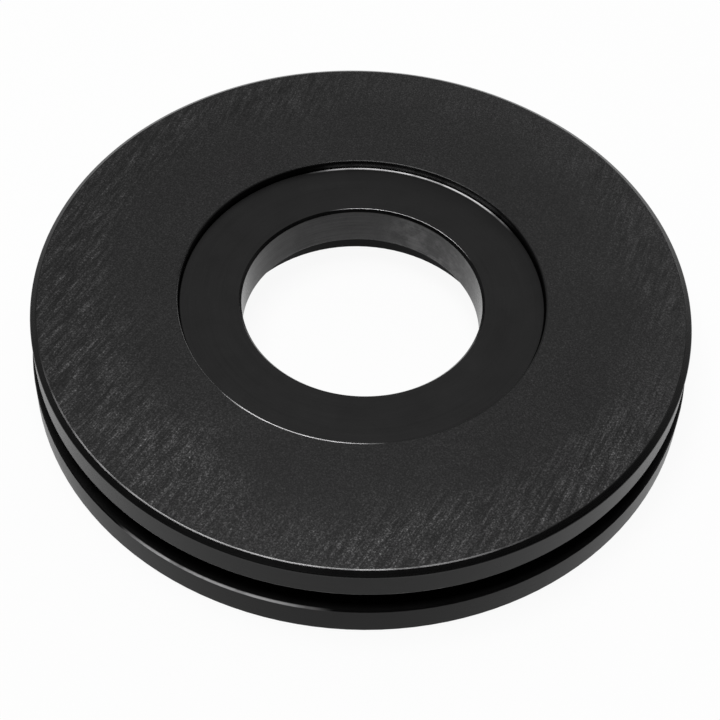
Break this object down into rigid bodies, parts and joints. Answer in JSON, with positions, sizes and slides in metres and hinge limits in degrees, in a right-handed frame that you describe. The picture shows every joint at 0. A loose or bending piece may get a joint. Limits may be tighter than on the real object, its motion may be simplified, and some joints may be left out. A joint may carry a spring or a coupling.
{
  "type": "ring saw drive ring",
  "caption": "Round drive ring for a ring saw: two black steel plates with a wedge groove around the rim and a recessed hub ring with the shaft bore.",
  "frame": {"origin": "centre of the underside, on the axis of the shaft bore", "axes": "+Z along the ring's axis, from the underside to the ground top face with the recessed hub ring"},
  "size_m": [0.11, 0.11, 0.0152],
  "materials": {
    "ground_plate": "surface-ground steel with a satin black oxide",
    "groove_ring": "turned steel with a black oxide",
    "turned_hub": "fine-turned steel with a black oxide, the bore honed bright",
    "screw": "black oxide",
    "pin": "ground bright"
  },
  "bodies": {
    "root": {"upper_plate": "ground_plate", "lower_plate": "ground_plate", "groove_floor_ring": "groove_ring", "hub_ring": "turned_hub", "plate_screws": "screw", "hub_screws": "screw", "plate_pins": "pin"}
  },
  "joints": []
}
